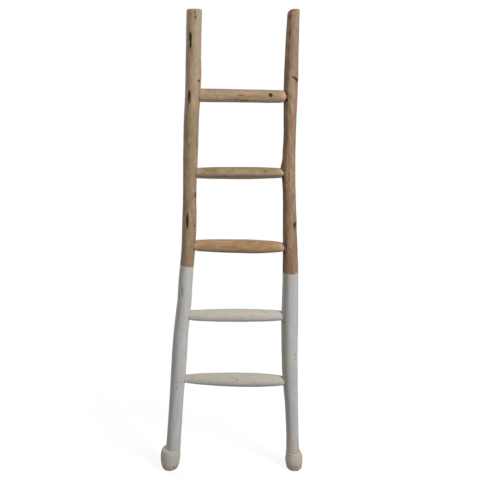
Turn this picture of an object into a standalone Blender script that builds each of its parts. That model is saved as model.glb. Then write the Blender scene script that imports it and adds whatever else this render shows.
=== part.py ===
"""Blanket ladder: two crooked wooden poles, five spindle rungs tenoned and nailed to them, and two bulb feet.

Metres, +Z up. The front faces -Y, the feet stand on z = 0, and the origin is under the middle of the ladder.
"""

import bpy
import bmesh
import numpy as np

# Overall
LADDER_HEIGHT = 1.625        # floor to the sawn top of the poles
FOOT_SPAN = 0.442            # pole to pole, centre to centre, where they enter the feet
TOP_SPAN = 0.304             # pole to pole, centre to centre, at the top
FOOT_MIDDLE = 0.0053         # middle of the pole ends, right of the origin, because the left foot bulges more
TOP_MIDDLE = 0.044           # middle of the pole tops: the whole ladder leans a little to the right

# Fits
GAP = 0.0003                 # between pieces that touch
GLUE_ROOM = 0.001            # left at the bottom of each blind hole

# Rungs
RUNG_BOTTOM_HEIGHT = 0.3655
RUNG_PITCH = 0.2495
RUNG_FULLNESS = 0.8          # how quickly a spindle swells from its ends: 1 is a parabola
TENON_RADIUS = 0.009
TENON_PAST_CENTRE = 0.006    # the tenon ends this far beyond the pole's centre line

# Nails, driven square to the pole's surface from the front
NAIL_LENGTH = 0.035
NAIL_RADIUS = 0.00125
NAIL_HEAD_RADIUS = 0.0026
NAIL_HEAD_THICKNESS = 0.0009
NAIL_SINK = 0.0005           # how deep the head lies below the surface

# Feet
FOOT_TENON_RADIUS = 0.018
FOOT_TENON_LENGTH = 0.040
SCREW_LENGTH = 0.060
SCREW_RADIUS = 0.0022
SCREW_HEAD_RADIUS = 0.0045
SCREW_HEAD_HEIGHT = 0.0030
SCREW_SINK = 0.0020          # how far the head lies up inside the sole

# Facets
POLE_SIDES = 18
POLE_STEP = 0.065            # between the rings of a pole
RUNG_SIDES = 16
RUNG_RINGS = 13
SMALL_SIDES = 8

# Each pole: which way is outwards, its nominal radius, how far it bows to the back, how far its nails are
# turned from the front towards the rung, and the shape of its crown, as (rise, shift outwards, radius).
# Its bends are (share of the ladder's height, shift towards the middle, thickness against nominal).
POLES = {
    "left": {
        "side": -1, "radius": 0.0246, "bow": 0.005, "nail_turn": 20,
        "crown": ((0.000, 0.0002, 0.0240), (0.004, 0.0000, 0.0224)),
        "bends": (
            (0.054, 0.0000, 1.07), (0.135, 0.0020, 1.03), (0.197, 0.0033, 1.03), (0.246, 0.0052, 1.09),
            (0.308, 0.0062, 1.08), (0.345, 0.0072, 1.05), (0.394, 0.0125, 1.02), (0.455, 0.0140, 0.99),
            (0.523, 0.0177, 0.95), (0.566, 0.0176, 0.99), (0.646, 0.0128, 0.90), (0.738, 0.0092, 0.98),
            (0.800, 0.0070, 0.99), (0.825, 0.0075, 0.98), (0.868, 0.0070, 1.03), (0.923, 0.0033, 0.97),
            (0.985, 0.0000, 1.00),
        ),
    },
    "right": {
        "side": 1, "radius": 0.0236, "bow": -0.004, "nail_turn": 10,
        "crown": ((0.000, 0.0010, 0.0186), (0.006, 0.0048, 0.0118)),
        "bends": (
            (0.046, 0.0000, 1.01), (0.105, 0.0018, 0.96), (0.166, 0.0051, 1.01), (0.222, 0.0091, 1.13),
            (0.252, 0.0107, 1.18), (0.308, 0.0121, 1.21), (0.369, 0.0117, 1.24), (0.425, 0.0102, 1.17),
            (0.492, 0.0097, 1.12), (0.554, 0.0116, 1.00), (0.634, 0.0135, 0.92), (0.658, 0.0142, 0.89),
            (0.702, 0.0158, 0.93), (0.732, 0.0139, 0.86), (0.800, 0.0112, 0.88), (0.868, 0.0085, 0.95),
            (0.935, 0.0051, 0.88), (0.985, 0.0015, 0.83),
        ),
    },
}

# Each rung: how far its left and right ends sit above their even place, its radius at the left end, at its
# thickest and at the right end, and where along it the thickest place is, from the left.
RUNGS = {
    "bottom": (0.0025, -0.0035, 0.0110, 0.0252, 0.0120, 0.60),
    "lower": (-0.0030, -0.0005, 0.0150, 0.0227, 0.0138, 0.52),
    "middle": (0.0027, -0.0012, 0.0170, 0.0235, 0.0114, 0.55),
    "upper": (0.0010, 0.0025, 0.0166, 0.0200, 0.0140, 0.50),
    "top": (0.0025, -0.0020, 0.0216, 0.0209, 0.0193, 0.45),
}

# Each foot: its height, its largest radius, how far its top stands proud of the pole, and its outline from
# the sole up, as (share of the height, shift outwards from the pole's end, swell). Swell is 0 where the foot
# is as wide as its top, and 1 at its largest radius.
FEET = {
    "left": {
        "height": 0.088, "radius": 0.0364, "lip": 0.0019,
        "outline": (
            (0.00, 0.0146, -0.780), (0.045, 0.0142, -0.068), (0.14, 0.0134, 0.466), (0.29, 0.0128, 0.800),
            (0.48, 0.0120, 0.955), (0.67, 0.0106, 1.000), (0.80, 0.0096, 0.911), (0.90, 0.0080, 0.689),
            (0.96, 0.0050, 0.377), (1.00, 0.0014, 0.000),
        ),
    },
    "right": {
        "height": 0.075, "radius": 0.0322, "lip": 0.0014,
        "outline": (
            (0.00, 0.0072, -0.116), (0.055, 0.0070, 0.395), (0.16, 0.0064, 0.721), (0.31, 0.0057, 0.907),
            (0.47, 0.0053, 1.000), (0.62, 0.0052, 0.930), (0.76, 0.0050, 0.675), (0.88, 0.0032, 0.349),
            (0.96, 0.0014, 0.163), (1.00, 0.0006, 0.000),
        ),
    },
}


def clear_scene():
    for thing in list(bpy.data.objects):
        bpy.data.objects.remove(thing, do_unlink=True)


def plain_material(name, colour, roughness, metallic=0.0):
    """A plain material for one kind of piece."""
    material = bpy.data.materials.new(name)
    material.use_nodes = True
    shader = material.node_tree.nodes["Principled BSDF"]
    shader.inputs["Base Color"].default_value = (*colour, 1.0)
    shader.inputs["Roughness"].default_value = roughness
    shader.inputs["Metallic"].default_value = metallic
    return material


def smooth_through(stations, places):
    """A curve through (place, value) stations, read at places: between two stations it is a cubic whose slope
    at each station is that of the line through the stations on either side."""
    at, value = np.array(stations, float).T
    slope = np.gradient(value, at)
    k = np.clip(np.searchsorted(at, places) - 1, 0, len(at) - 2)
    step = at[k + 1] - at[k]
    t = np.clip((places - at[k]) / step, 0.0, 1.0)
    return (
        (1 + 2 * t) * (1 - t) ** 2 * value[k]
        + t * (1 - t) ** 2 * step * slope[k]
        + t * t * (3 - 2 * t) * value[k + 1]
        + t * t * (t - 1) * step * slope[k + 1]
    )


def round_solid(name, centres, radii, sides, across, up, material=None):
    """A closed round solid: each ring is its centre plus its radius times (cos t across + sin t up)."""
    turn = np.arange(sides) * 2 * np.pi / sides
    circle = np.outer(np.cos(turn), across) + np.outer(np.sin(turn), up)
    rings = np.array(centres, float)[:, None, :] + np.array(radii, float)[:, None, None] * circle
    shape = bmesh.new()
    rows = [[shape.verts.new(point) for point in ring] for ring in rings]
    for low, high in zip(rows[:-1], rows[1:]):
        for i in range(sides):
            j = (i + 1) % sides
            shape.faces.new((low[i], low[j], high[j], high[i]))
    shape.faces.new(rows[0])
    shape.faces.new(rows[-1])
    bmesh.ops.recalc_face_normals(shape, faces=shape.faces)
    mesh = bpy.data.meshes.new(name)
    shape.to_mesh(mesh)
    shape.free()
    mesh.shade_smooth()
    mesh.set_sharp_from_angle(angle=np.radians(40))
    piece = bpy.data.objects.new(name, mesh)
    bpy.context.scene.collection.objects.link(piece)
    if material:
        mesh.materials.append(material)
    else:
        piece.hide_render = True
        piece.display_type = "WIRE"
    return piece


def square_to(direction):
    """Two directions square to this one and to each other."""
    helper = np.array((0.0, 0.0, 1.0)) if abs(direction[2]) < 0.7 else np.array((0.0, 1.0, 0.0))
    across = np.cross(helper, direction)
    across /= np.linalg.norm(across)
    return across, np.cross(direction, across)


def turned(name, start, direction, profile, sides, material=None):
    """A round solid along a direction: profile is (distance from start, radius) pairs."""
    across, up = square_to(direction)
    centres = [start + distance * direction for distance, _ in profile]
    return round_solid(name, centres, [radius for _, radius in profile], sides, across, up, material)


def boolean(piece, operation, other):
    modifier = piece.modifiers.new(other.name, "BOOLEAN")
    modifier.operation = operation
    modifier.object = other


def pole_end_x(side):
    """Centre of the pole's lower end."""
    return FOOT_MIDDLE + side * FOOT_SPAN / 2


def pole_line(name, heights):
    """Centres and radii of a pole at these heights."""
    pole = POLES[name]
    side = pole["side"]
    foot = FEET[name]["height"]
    share = np.asarray(heights, float) / LADDER_HEIGHT
    climb = (np.asarray(heights, float) - foot) / (LADDER_HEIGHT - foot)
    top_x = TOP_MIDDLE + side * TOP_SPAN / 2
    straight = pole_end_x(side) + climb * (top_x - pole_end_x(side))
    inwards = smooth_through([(place, shift) for place, shift, _ in pole["bends"]], share)
    thickness = smooth_through([(place, girth) for place, _, girth in pole["bends"]], share)
    x = straight - side * inwards
    y = pole["bow"] * np.sin(np.pi * np.clip(climb, 0, 1))
    return np.stack([x, y, np.asarray(heights, float)], axis=1), pole["radius"] * thickness


def pole_rings(name, grow=0.0):
    """Rings of the whole pole above its foot, with its crown; grow makes it fatter all round."""
    pole = POLES[name]
    bottom = FEET[name]["height"] + GAP
    crown_rise = pole["crown"][-1][0]
    top = LADDER_HEIGHT - crown_rise
    count = int(round((top - bottom) / POLE_STEP))
    centres, radii = pole_line(name, np.linspace(bottom, top, count + 1))
    centres, radii = list(centres), list(radii + grow)
    top_centre = centres.pop()
    radii.pop()
    for rise, outwards, radius in pole["crown"]:
        centres.append(top_centre + np.array((pole["side"] * outwards, 0.0, rise)))
        radii.append(radius + grow)
    return centres, radii


def rung_line(name):
    """The two ends of a rung's axis, on the centre lines of the poles."""
    left_lift, right_lift = RUNGS[name][:2]
    even = RUNG_BOTTOM_HEIGHT + list(RUNGS).index(name) * RUNG_PITCH
    left = pole_line("left", [even + left_lift])[0][0]
    right = pole_line("right", [even + right_lift])[0][0]
    return left, right


def make_rung(name, material, cope):
    """A spindle coped to both poles, with a round tenon through its whole length."""
    _, _, left_radius, thickest, right_radius, belly = RUNGS[name]
    left, right = rung_line(name)
    direction = (right - left) / np.linalg.norm(right - left)
    length = np.linalg.norm(right - left)
    share = np.linspace(0, 1, RUNG_RINGS)
    end_radius = np.where(share < belly, left_radius, right_radius)
    away = np.where(share < belly, (belly - share) / belly, (share - belly) / (1 - belly))
    radius = end_radius + (thickest - end_radius) * (1 - away**2) ** RUNG_FULLNESS
    spindle = turned(
        "rung_" + name, left, direction, list(zip(share * length, radius)), RUNG_SIDES, material
    )
    for pole in POLES:
        boolean(spindle, "DIFFERENCE", cope[pole])
    reach = TENON_PAST_CENTRE
    tenon = turned(
        "tenon_" + name, left - reach * direction, direction,
        [(0, TENON_RADIUS), (length + 2 * reach, TENON_RADIUS)], RUNG_SIDES,
    )
    boolean(spindle, "UNION", tenon)
    return spindle


def cut_mortises(pole_name, pole):
    """A blind hole for each tenon, from outside the pole's inner face to just past the tenon's end."""
    for name in RUNGS:
        left, right = rung_line(name)
        inwards = (right - left) / np.linalg.norm(right - left)
        start = left
        if pole_name == "right":
            start, inwards = right, -inwards
        past = TENON_PAST_CENTRE + GLUE_ROOM
        outside = 2 * POLES[pole_name]["radius"]
        hole = turned(
            f"mortise_{name}_{pole_name}", start - past * inwards, inwards,
            [(0, TENON_RADIUS + GAP), (past + outside, TENON_RADIUS + GAP)], RUNG_SIDES,
        )
        boolean(pole, "DIFFERENCE", hole)


def nail_place(rung_name, pole_name):
    """Where a nail starts on the pole's surface, and its direction towards the pole's centre line."""
    centre = rung_line(rung_name)[0 if pole_name == "left" else 1]
    radius = pole_line(pole_name, [centre[2]])[1][0]
    turn = np.radians(POLES[pole_name]["nail_turn"])
    outwards = np.array((-POLES[pole_name]["side"] * np.sin(turn), -np.cos(turn), 0.0))
    return centre + radius * outwards, -outwards


def nail_and_hole(rung_name, pole_name, material):
    """A flat-headed wire nail, and the hole that it fills."""
    surface, direction = nail_place(rung_name, pole_name)
    shoulder = NAIL_SINK + NAIL_HEAD_THICKNESS
    end = NAIL_SINK + NAIL_LENGTH
    point = 2 * NAIL_RADIUS
    nail = turned(
        f"nail_{rung_name}_{pole_name}", surface, direction,
        [
            (NAIL_SINK, NAIL_HEAD_RADIUS * 0.85), (NAIL_SINK + NAIL_HEAD_THICKNESS / 3, NAIL_HEAD_RADIUS),
            (shoulder, NAIL_HEAD_RADIUS), (shoulder + NAIL_RADIUS / 4, NAIL_RADIUS),
            (end - point, NAIL_RADIUS), (end, NAIL_RADIUS / 5),
        ],
        SMALL_SIDES, material,
    )
    proud = NAIL_HEAD_RADIUS
    hole = turned(
        f"nail_hole_{rung_name}_{pole_name}", surface, direction,
        [
            (-proud, NAIL_HEAD_RADIUS + GAP), (shoulder + GAP, NAIL_HEAD_RADIUS + GAP),
            (shoulder + 2 * GAP, NAIL_RADIUS + GAP), (end + GAP, NAIL_RADIUS + GAP),
        ],
        SMALL_SIDES,
    )
    return nail, hole


def foot_outline(name):
    """Centres and radii of the foot's rings, from the sole up."""
    foot, side = FEET[name], POLES[name]["side"]
    centres = [
        (pole_end_x(side) + side * outwards, 0.0, share * foot["height"])
        for share, outwards, _ in foot["outline"]
    ]
    top_radius = pole_line(name, [foot["height"]])[1][0] + foot["lip"]
    swell = np.array([swell for _, _, swell in foot["outline"]])
    return np.array(centres), top_radius + (foot["radius"] - top_radius) * swell


def foot_axis(name):
    """Middle of the sole, and the direction from there to the middle of the pole's end."""
    side = POLES[name]["side"]
    sole = foot_outline(name)[0][0]
    end = np.array((pole_end_x(side), 0.0, FEET[name]["height"]))
    return sole, (end - sole) / np.linalg.norm(end - sole)


def add_foot_tenon(name, pole):
    """The pole's turned lower end, which stands in the foot."""
    side, top = POLES[name]["side"], FEET[name]["height"]
    root = top + 2 * POLES[name]["radius"]
    centres = [
        (pole_end_x(side), 0.0, top - FOOT_TENON_LENGTH), (pole_end_x(side), 0.0, top),
        pole_line(name, [root])[0][0],
    ]
    radii = [FOOT_TENON_RADIUS, FOOT_TENON_RADIUS, FOOT_TENON_RADIUS / 2]
    tenon = round_solid("foot_tenon_" + name, centres, radii, POLE_SIDES, (1, 0, 0), (0, 1, 0))
    boolean(pole, "UNION", tenon)


def make_foot(name, material):
    """A bulb with a blind socket for the pole's tenon in its top."""
    centres, radii = foot_outline(name)
    foot = round_solid("foot_" + name, centres, radii, POLE_SIDES, (1, 0, 0), (0, 1, 0), material)
    x, top = pole_end_x(POLES[name]["side"]), FEET[name]["height"]
    depth = FOOT_TENON_LENGTH + GLUE_ROOM
    ends = [(x, 0.0, top - depth), (x, 0.0, top + depth)]
    wide = FOOT_TENON_RADIUS + GAP
    socket = round_solid("socket_" + name, ends, [wide, wide], POLE_SIDES, (1, 0, 0), (0, 1, 0))
    boolean(foot, "DIFFERENCE", socket)
    return foot


def foot_screw_and_hole(name, material):
    """A countersunk screw up through the sole into the pole's tenon, and the hole that it fills."""
    sole, direction = foot_axis(name)
    neck = SCREW_SINK + SCREW_HEAD_HEIGHT
    end = SCREW_SINK + SCREW_LENGTH
    point = 4 * SCREW_RADIUS
    screw = turned(
        "foot_screw_" + name, sole, direction,
        [
            (SCREW_SINK, SCREW_HEAD_RADIUS), (neck, SCREW_RADIUS),
            (end - point, SCREW_RADIUS), (end, SCREW_RADIUS / 5),
        ],
        SMALL_SIDES, material,
    )
    hole = turned(
        "foot_screw_hole_" + name, sole, direction,
        [
            (-SCREW_SINK, SCREW_HEAD_RADIUS + GAP), (SCREW_SINK, SCREW_HEAD_RADIUS + GAP),
            (neck + GAP, SCREW_RADIUS + GAP), (end + GAP, SCREW_RADIUS + GAP),
        ],
        SMALL_SIDES,
    )
    return screw, hole


clear_scene()
bare_wood = plain_material("bare wood", (0.42, 0.29, 0.19), 0.7)
pole_wood = plain_material("dipped pole", (0.47, 0.38, 0.30), 0.7)
painted_wood = plain_material("painted wood", (0.55, 0.52, 0.46), 0.75)
foot_wood = plain_material("painted foot", (0.42, 0.36, 0.31), 0.8)
steel = plain_material("steel", (0.20, 0.18, 0.16), 0.5, metallic=1.0)

poles, copes = {}, {}
for pole_name in POLES:
    poles[pole_name] = round_solid(
        "pole_" + pole_name, *pole_rings(pole_name), POLE_SIDES, (1, 0, 0), (0, 1, 0), pole_wood
    )
    copes[pole_name] = round_solid(
        "cope_" + pole_name, *pole_rings(pole_name, grow=GAP), POLE_SIDES, (1, 0, 0), (0, 1, 0)
    )
    cut_mortises(pole_name, poles[pole_name])
    add_foot_tenon(pole_name, poles[pole_name])

for rung_name in RUNGS:
    painted = rung_name in ("bottom", "lower")
    rung = make_rung(rung_name, painted_wood if painted else bare_wood, copes)
    for pole_name in POLES:
        nail, hole = nail_and_hole(rung_name, pole_name, steel)
        boolean(rung, "DIFFERENCE", hole)
        boolean(poles[pole_name], "DIFFERENCE", hole)

for pole_name in POLES:
    foot = make_foot(pole_name, foot_wood)
    screw, hole = foot_screw_and_hole(pole_name, steel)
    boolean(foot, "DIFFERENCE", hole)
    boolean(poles[pole_name], "DIFFERENCE", hole)
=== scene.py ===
"""Looks of a blanket ladder around its CAD parts: poles, rungs, feet, nails and screws, then a studio."""

import bpy
import numpy as np
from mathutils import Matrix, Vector


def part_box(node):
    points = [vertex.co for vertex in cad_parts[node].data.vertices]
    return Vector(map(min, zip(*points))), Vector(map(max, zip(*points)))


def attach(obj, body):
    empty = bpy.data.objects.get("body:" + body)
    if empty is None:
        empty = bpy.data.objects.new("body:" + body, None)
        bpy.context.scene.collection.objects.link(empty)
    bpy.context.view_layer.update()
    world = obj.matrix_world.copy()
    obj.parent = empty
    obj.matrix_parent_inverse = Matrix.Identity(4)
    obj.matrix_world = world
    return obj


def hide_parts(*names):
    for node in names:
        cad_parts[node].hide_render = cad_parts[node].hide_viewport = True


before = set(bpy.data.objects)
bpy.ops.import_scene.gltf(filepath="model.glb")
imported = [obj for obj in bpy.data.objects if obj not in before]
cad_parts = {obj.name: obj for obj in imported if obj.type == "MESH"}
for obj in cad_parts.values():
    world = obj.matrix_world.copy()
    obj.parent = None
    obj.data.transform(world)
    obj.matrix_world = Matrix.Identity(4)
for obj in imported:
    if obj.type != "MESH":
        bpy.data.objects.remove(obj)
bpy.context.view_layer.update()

# --------
# Poles. Two saplings stripped of their bark and shaved by hand, so they are crooked, with shallow flats and
# the scars of side branches. Their lower halves are dipped in thin white paint, through which the scars
# still show. Each is sawn off at the top, and its lower end is a tenon glued into a bulb foot.
# --------

POLE_COLUMNS = 132
POLE_ROW = 0.0027            # between two rows of the skin, away from nails and small scars
FINE_ROW = 0.0009            # the same near nails and small scars
FINE_REACH = 0.005           # how far from one of them the rows lie that close
CROWD_STEPS = 4000           # of the running total that places the rows
SMALL_SCAR = 0.0065          # half length below which a scar needs close rows
TOASTED = (1.42, 1.24)       # heights between which the bare wood grows warmer downwards
YELLOWED = (0.175, 0.085)    # heights between which the paint grows yellower downwards
DIMMED = (4, 30), (44, 76)    # degrees left of the front where shade is painted into the paint's colour, and where it clears again
WOOD_FLANK_SHADE_END = (170, 120)     # degrees left of the front where the shade painted down the bare wood's left flank starts, at the back
FRONT_CROWDING = 0.5         # columns lie closer together by this share at the front, and wider at the back
POLE_SWELL = 0.008           # how far the girth wanders, as a share of it
POLE_RIPPLE = 0.00022        # height of the small knife marks
CROWN_ROWS = 9               # of the rounded edge between the side and the sawn top
SAWN_ROWS = 12
TENON_RADIUS = 0.0178
TENON_LENGTH = 0.0398
NAIL_DIMPLE = 0.0009         # depth of the hollow that each nail's head was punched into
DIMPLE_RADIUS = 0.0036
NAIL_STAIN = 0.2             # how dark the wood is round a nail, and next along the drying crack
CRACK_STAIN = 0.34
PLAIN_RADIUS = 0.024         # of a straight stick that noise and stains are laid out on
RUNG_NAMES = ("bottom", "lower", "middle", "upper", "top")

# Angles are degrees from the front towards +X. A flat is (angle, depth, height of its middle, half length).
# A scar, or a shadow painted below a rung's end, is (height, angle, half length, half width, depth,
# darkness, slant from upright). A shoulder is (height, angle, half length, rise). The dip line is its
# height at the front, its rise towards the left, and how ragged it is. A crack is (angle, depth, length
# down from the top). A crown is (height of the rounding, radius of the sawn face, its shift along X). Shade
# is painted into the bare wood's colour down the left flank in two steps: the first one's share, and the
# angles left of the front where each starts and ends.
POLES = {
    "left": {
        "side": -1, "foot": "foot_left", "seed": 11,
        "flats": (
            (-62, 0.0016, 1.3, 0.35), (-70, 0.0018, 0.62, 0.4), (28, 0.001, 1.47, 0.16),
            (70, 0.0012, 1.0, 0.2), (35, 0.001, 0.55, 0.22), (150, 0.0018, 1.1, 0.5),
            (-150, 0.0014, 0.5, 0.3),
        ),
        "scars": (
            (1.542, -22.5, 0.015, 0.0042, 0.0022, 0.96, 3), (1.521, -21.0, 0.012, 0.0036, 0.0016, 0.88, -4),
            (1.4105, 47.5, 0.0044, 0.0034, 0.0012, 0.95, 0), (1.365, -24.5, 0.0165, 0.0046, 0.0011, 0.84, 0),
            (1.348, -19.0, 0.009, 0.003, 0.0006, 0.62, -8), (1.0437, 64.0, 0.01, 0.0048, 0.0014, 1.0, 0),
            (1.02, 62.0, 0.016, 0.0018, 0.0003, 0.5, 0), (0.9575, -14.5, 0.023, 0.0042, 0.0022, 1.0, 0),
            (0.9389, 51.0, 0.0036, 0.0034, 0.0006, 0.7, 0), (1.601, 10.0, 0.008, 0.0036, 0.0005, 0.52, 0),
            (1.615, 7.0, 0.005, 0.003, 0.0003, 0.46, 0),
            (0.71, -20.0, 0.023, 0.004, 0.0007, 0.75, 4), (0.5693, 12.5, 0.008, 0.0036, 0.0004, 0.4, 0),
            (0.4725, 49.0, 0.006, 0.0034, 0.0007, 0.55, 0), (0.3421, 1.7, 0.007, 0.0042, 0.0009, 0.55, 0),
            (1.23, 150.0, 0.02, 0.004, 0.002, 0.95, 2), (0.9, -120.0, 0.009, 0.0045, 0.0016, 0.9, 0),
            (1.44, 120.0, 0.007, 0.004, 0.0012, 0.8, 0), (0.52, 170.0, 0.02, 0.005, 0.001, 0.6, 0),
        ),
        "shoulders": ((1.116, 68, 0.03, 0.0006), (0.612, 75, 0.026, 0.0007)),
        "dip": (0.7985, 0.0045, 0.001),
        "crack": (9.0, 0.0008, 0.036),
        "crown": (0.0085, 0.0188, 0.0002), "wood_flank_shade": (0.35, (26, 50), (58, 78)),
    },
    "right": {
        "side": 1, "foot": "foot_right", "seed": 29,
        "flats": (
            (-52, 0.0024, 1.42, 0.22), (-58, 0.0022, 0.98, 0.3), (-60, 0.0016, 0.45, 0.3),
            (20, 0.001, 1.2, 0.2), (52, 0.0012, 0.72, 0.25), (165, 0.0018, 0.95, 0.45),
            (110, 0.0014, 1.4, 0.25),
        ),
        "scars": (
            (1.4222, 16.0, 0.0062, 0.0024, 0.0008, 0.9, 74), (1.418, 33.0, 0.0065, 0.0032, 0.0012, 1.0, 66),
            # the mark at 1.3528 m is a shadow painted below the top rung's right end, not a scar
            (1.413, 52.0, 0.0066, 0.0052, 0.0014, 1.0, 52), (1.3528, -42.0, 0.0062, 0.005, 0.001, 1.0, 0),
            (0.9455, 46.0, 0.008, 0.0066, 0.0018, 1.0, 20), (0.935, 38.0, 0.009, 0.0026, 0.0005, 0.6, 30),
            (1.0875, -25.0, 0.003, 0.0018, 0.0004, 0.7, 0), (1.062, -48.0, 0.006, 0.0026, 0.0007, 0.8, 0),
            (1.601, -40.0, 0.006, 0.004, 0.0006, 0.55, 0), (1.55, -30.0, 0.018, 0.003, 0.0003, 0.45, 5),
            (1.6035, -6.0, 0.0022, 0.011, 0.0002, 0.26, -14),
            (0.4755, 42.0, 0.003, 0.0036, 0.0009, 1.0, 0), (0.46, 42.0, 0.0018, 0.0034, 0.0003, 0.5, 60),
            (0.403, -74.0, 0.04, 0.0055, 0.0006, 0.45, 0), (1.29, 140.0, 0.016, 0.004, 0.0018, 0.95, 4),
            (0.7, -150.0, 0.012, 0.005, 0.0014, 0.7, 0), (1.03, 100.0, 0.008, 0.004, 0.0014, 0.85, 0),
            (1.37, -40.0, 0.013, 0.0046, 0.0001, 0.46, 0), (1.1, -66.0, 0.02, 0.004, 0.0003, 0.8, 0),
            # the mark at 0.8505 m is a shadow painted below the middle rung's right end, not a scar
            (0.879, -45.0, 0.013, 0.006, 0.0001, 0.46, 0), (0.8505, -62.0, 0.006, 0.005, 0.0006, 0.9, 0),
            # the mark at 0.5985 m is a shadow painted below the lower rung's right end, grey through the
            # paint
            (0.5985, -47.0, 0.005, 0.006, 0.0004, 0.6, 0),
        ),
        "shoulders": ((1.13, -84, 0.022, 0.006),),
        "dip": (0.7768, -0.0005, 0.0036),
        "crack": (-140.0, 0.0012, 0.022),
        "crown": (0.018, 0.0082, 0.0088), "wood_flank_shade": (0.5, (8, 36), (62, 78)),
    },
}


def cad_points(node):
    """The distinct corners of a CAD node."""
    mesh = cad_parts[node].data
    points = np.empty(len(mesh.vertices) * 3, np.float32)
    mesh.vertices.foreach_get("co", points)
    return np.unique(points.reshape(-1, 3).astype(float).round(5), axis=0)


def upright_rings(node, side, corners=18):
    """Rings of an upright CAD piece, bottom to top, as rows of (height, centre x, centre y, radius). A ring
    is a height that 18 corners share. Two of them lie 10 degrees either side of the front, so the radius is
    half the ring's depth over the cosine of 10 degrees. The centre is one radius in from the corner
    furthest outwards."""
    points = cad_points(node)
    heights, where, counts = np.unique(points[:, 2], return_inverse=True, return_counts=True)
    rings = [points[where == k] for k in np.nonzero(counts >= corners)[0]]
    low = np.array([ring.min(axis=0) for ring in rings])
    high = np.array([ring.max(axis=0) for ring in rings])
    radius = (high[:, 1] - low[:, 1]) / 2 / np.cos(np.pi / corners)
    outer = high[:, 0] if side > 0 else low[:, 0]
    return np.stack([high[:, 2], outer - side * radius, (low[:, 1] + high[:, 1]) / 2, radius], axis=1)


def smooth_through(at, values, places):
    """Values at places on a cubic through stations. Its slope at a station is weighed from the lines to
    both of its neighbours, and beyond the end stations it runs on straight."""
    slope = np.gradient(values, at, axis=0)
    k = np.clip(np.searchsorted(at, places) - 1, 0, len(at) - 2)
    step = at[k + 1] - at[k]
    beyond = places - np.clip(places, at[0], at[-1])
    t = np.clip((places - at[k]) / step, 0.0, 1.0)
    if values.ndim > 1:
        t, step, beyond = t[..., None], step[..., None], beyond[..., None]
    curve = (
        (1 + 2 * t) * (1 - t) ** 2 * values[k] + t * (1 - t) ** 2 * step * slope[k]
        + t * t * (3 - 2 * t) * values[k + 1] + t * t * (t - 1) * step * slope[k + 1]
    )
    return curve + beyond * np.where(beyond < 0, slope[0], slope[-1])


def wander(points, pitch, seed, waves=14):
    """Smooth noise, mostly from -1 to 1: a sum of plane waves in random directions, about one pitch long
    along each axis."""
    rng = np.random.default_rng(seed)
    turns = rng.normal(size=(waves, 3)) * 2 * np.pi / np.array(pitch) / 1.7
    phases = rng.uniform(0, 2 * np.pi, waves)
    return np.cos(points @ turns.T + phases).sum(axis=-1) / np.sqrt(waves)


def eased(value, start, end):
    """0 before start, 1 past end, and 3t^2 - 2t^3 between them. The end may be less than the start."""
    t = np.clip((value - start) / (end - start), 0.0, 1.0)
    return t * t * (3 - 2 * t)


def turn_from(angle, start):
    """How far angles lie from a start, from -pi to pi."""
    return np.angle(np.exp(1j * (angle - start)))


def shaved(radius, angle, flat_angle, depth, blur=0.0004):
    """A round section with one flat: the smaller of the circle and the chord (radius - depth) / cos(turn),
    blended over the blur so that its arrises are soft."""
    turn = turn_from(angle, np.radians(flat_angle))
    chord = (radius - depth) / np.maximum(np.cos(turn), 0.2)
    gap = np.clip((chord - radius) / blur, -60, 60)
    return radius - blur * np.log1p(np.exp(-gap))


def scar_shape(arc, along, half_width, half_length, slant=0.0):
    """A lens-shaped scar: exp(-q^3), where q is the distance from its middle in half widths and half
    lengths, after a turn by the slant."""
    lean = np.radians(slant)
    across = (arc * np.cos(lean) + along * np.sin(lean)) / half_width
    down = (along * np.cos(lean) - arc * np.sin(lean)) / half_length
    return np.exp(-((across ** 2 + down ** 2) ** 1.5))


def notched(radius, scars, girth, along, angle, spread):
    """A skin hollowed at its scars. Each hollow lies in a raised collar, which is spread times as wide."""
    for middle, scar_angle, half_length, half_width, depth, _, *slant in scars:
        arc = girth * turn_from(angle, np.radians(scar_angle))
        hollow = scar_shape(arc, along - middle, half_width, half_length, *slant)
        collar = scar_shape(arc, along - middle, spread * half_width, 1.7 * half_length, *slant)
        radius = radius + depth * (0.45 * collar - 1.35 * hollow)
    return radius


def scar_and_shadow_stain(scars, girth, along, angle, spread):
    """How dark a skin is from its scars, and from shadows painted as scars, from 0 to 1. A stain is spread
    times as wide as its scar.
    """
    dark = np.zeros_like(along)
    for middle, scar_angle, half_length, half_width, _, darkness, *slant in scars:
        arc = girth * turn_from(angle, np.radians(scar_angle))
        scar = scar_shape(arc, along - middle, spread * half_width, 1.1 * half_length, *slant)
        dark = np.maximum(dark, darkness * scar)
    return dark


def pin_line(node):
    """A CAD nail or screw as its head's middle, its direction and its length. Its corners lie in rings
    round its axis, so the axis is their longest principal direction, and the head is at the end where they
    reach widest."""
    points = cad_points(node)
    middle = points.mean(axis=0)
    axis = np.linalg.svd(points - middle)[2][0]
    along = (points - middle) @ axis
    width = np.linalg.norm(points - middle - along[:, None] * axis, axis=1)
    if along[np.argmax(width)] > (along.min() + along.max()) / 2:
        axis, along = -axis, -along
    return middle + axis * along.min(), axis, along.max() - along.min()


def pole_middle(name, height):
    """Centre x, centre y and plain radius of a pole, below its crown."""
    rings = POLES[name]["rings"][:-1]
    return smooth_through(rings[:, 0], rings[:, 1:], height)


def nail_places(name):
    """Height and angle of each nail's head on a pole."""
    heads = np.array([pin_line(f"nail_{rung}_{name}")[0] for rung in RUNG_NAMES])
    away = heads[:, :2] - pole_middle(name, heads[:, 2])[:, :2]
    return list(zip(heads[:, 2], np.arctan2(away[:, 0], -away[:, 1])))


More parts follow.
